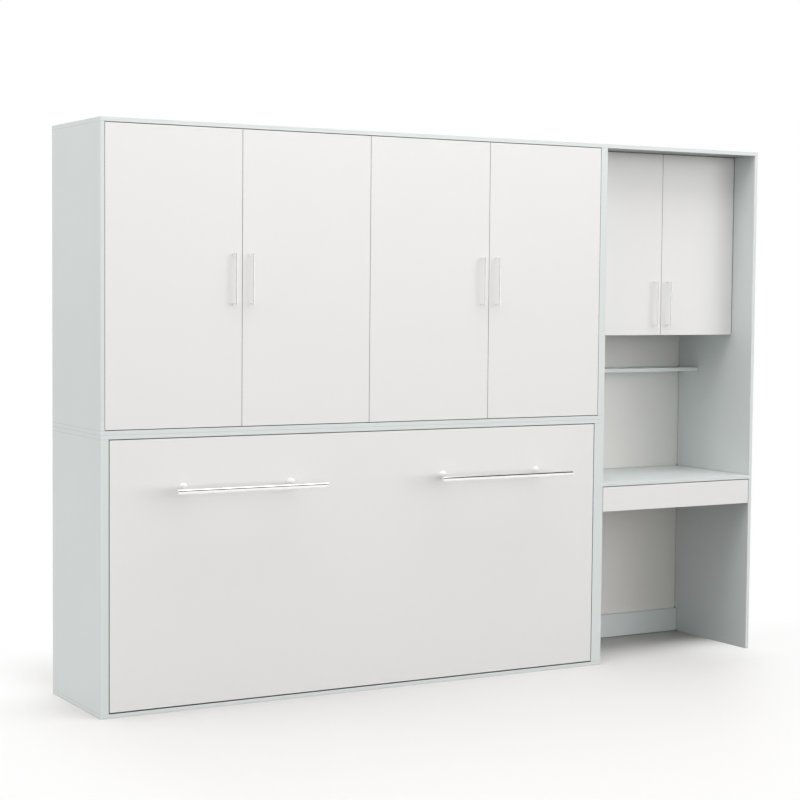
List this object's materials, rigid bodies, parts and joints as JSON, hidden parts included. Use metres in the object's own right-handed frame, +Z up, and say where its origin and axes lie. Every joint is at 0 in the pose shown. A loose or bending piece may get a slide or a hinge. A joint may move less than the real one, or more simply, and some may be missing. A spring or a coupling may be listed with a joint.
{
  "type": "wall bed with desk unit",
  "caption": "Side-folding wall bed in a cabinet with four doors above, beside a desk unit with two recessed doors, an open niche, a shelf and a shallow drawer.",
  "frame": {"origin": "on the floor, under the middle of the whole piece's box, bars included", "axes": "+X to the right along the front, +Y back towards the wall, +Z up"},
  "size_m": [3.058, 0.666, 2.2],
  "materials": {
    "carcass_board": "satin pale grey board",
    "back_panel": "smooth white board",
    "white_front": "satin white board",
    "drawer_board": "matt white board",
    "slat_wood": "clear varnished",
    "nickel": "nickel plated",
    "zinc_steel": "zinc plated",
    "grey_frame_steel": "powder coated",
    "black_steel": "gloss black",
    "chrome": "polished",
    "black_plastic": "moulded",
    "mattress_cover": "quilted",
    "strap_webbing": "woven"
  },
  "bodies": {
    "cabinet": {"lower_bottom": "carcass_board", "lower_sides": "carcass_board", "lower_top": "carcass_board", "lower_back": "back_panel", "upper_bottom": "carcass_board", "upper_sides": "carcass_board", "upper_partition": "carcass_board", "upper_top": "carcass_board", "upper_back": "back_panel", "upper_shelves": "carcass_board", "shelf_supports": "nickel", "wall_rails": "carcass_board", "desk_side_left": "carcass_board", "desk_side_right": "carcass_board", "desk_cabinet_top": "carcass_board", "desk_back": "back_panel", "desk_cabinet_bottom": "carcass_board", "desk_cabinet_shelf": "carcass_board", "niche_shelf": "carcass_board", "desktop": "carcass_board", "desk_skirting": "carcass_board", "hinge_arms": "nickel", "drawer_slide_outers": "zinc_steel", "pivot_brackets": "zinc_steel", "bed_stops": "black_plastic"},
    "bed": {"bed_front": "white_front", "frame_rails": "grey_frame_steel", "frame_cross_tubes": "grey_frame_steel", "slats": "slat_wood", "slat_holders": "black_plastic", "mattress": "mattress_cover", "mattress_straps": "strap_webbing", "leg_bars": "chrome", "leg_bolts": "zinc_steel", "bed_pivot_plates": "zinc_steel"},
    "strut_cylinder_pair": {"strut_cylinders": "black_steel"},
    "strut_rod_pair": {"strut_rods": "chrome"},
    "door_leaf_1": {"door_1": "white_front", "door_1_handle": "chrome", "door_1_hinge_cups": "nickel"},
    "door_leaf_2": {"door_2": "white_front", "door_2_handle": "chrome", "door_2_hinge_cups": "nickel"},
    "door_leaf_3": {"door_3": "white_front", "door_3_handle": "chrome", "door_3_hinge_cups": "nickel"},
    "door_leaf_4": {"door_4": "white_front", "door_4_handle": "chrome", "door_4_hinge_cups": "nickel"},
    "door_leaf_5": {"door_5": "white_front", "door_5_handle": "chrome", "door_5_hinge_cups": "nickel"},
    "door_leaf_6": {"door_6": "white_front", "door_6_handle": "chrome", "door_6_hinge_cups": "nickel"},
    "drawer": {"drawer_front": "white_front", "drawer_box": "drawer_board", "drawer_bottom": "drawer_board", "drawer_slide_inners": "zinc_steel"},
    "drawer_middle_members": {"drawer_slide_middles": "zinc_steel"}
  },
  "joints": [
    {"name": "bed_fold", "type": "hinge", "parent": "cabinet", "child": "bed", "pos_m": [-0.413, -0.151, 0.1825], "axis": [1, 0, 0], "range_deg": [0, 90]},
    {"name": "strut_cylinder_swing", "type": "hinge", "parent": "cabinet", "child": "strut_cylinder_pair", "pos_m": [-0.413, -0.151, 0.3225], "axis": [1, 0, 0], "range_deg": [0, 45]},
    {"name": "strut_rod_swing", "type": "hinge", "parent": "bed", "child": "strut_rod_pair", "pos_m": [-0.413, -0.11477, 0.04727], "axis": [1, 0, 0], "range_deg": [-45, 0]},
    {"name": "door_1_hinge", "type": "hinge", "parent": "cabinet", "child": "door_leaf_1", "pos_m": [-1.511, -0.181, 1.623], "axis": [0, 0, -1], "range_deg": [0, 105]},
    {"name": "door_2_hinge", "type": "hinge", "parent": "cabinet", "child": "door_leaf_2", "pos_m": [-0.414, -0.181, 1.623], "axis": [0, 0, 1], "range_deg": [0, 84]},
    {"name": "door_3_hinge", "type": "hinge", "parent": "cabinet", "child": "door_leaf_3", "pos_m": [-0.412, -0.181, 1.623], "axis": [0, 0, -1], "range_deg": [0, 84]},
    {"name": "door_4_hinge", "type": "hinge", "parent": "cabinet", "child": "door_leaf_4", "pos_m": [0.685, -0.181, 1.623], "axis": [0, 0, 1], "range_deg": [0, 90]},
    {"name": "door_5_hinge", "type": "hinge", "parent": "cabinet", "child": "door_leaf_5", "pos_m": [0.721, -0.043, 1.789], "axis": [0, 0, -1], "range_deg": [0, 84]},
    {"name": "door_6_hinge", "type": "hinge", "parent": "cabinet", "child": "door_leaf_6", "pos_m": [1.511, -0.043, 1.789], "axis": [0, 0, 1], "range_deg": [0, 84]},
    {"name": "drawer_slide", "type": "slide", "parent": "cabinet", "child": "drawer", "axis": [0, -1, 0], "range_m": [0, 0.35]},
    {"name": "drawer_middle_slide", "type": "slide", "parent": "cabinet", "child": "drawer_middle_members", "axis": [0, -1, 0], "range_m": [0, 0.175]}
  ],
  "couplings": [
    {"joint": "strut_cylinder_swing", "follows": "bed_fold", "ratio": 0.5},
    {"joint": "strut_rod_swing", "follows": "bed_fold", "ratio": -0.5},
    {"joint": "drawer_middle_slide", "follows": "drawer_slide", "ratio": 0.5}
  ]
}
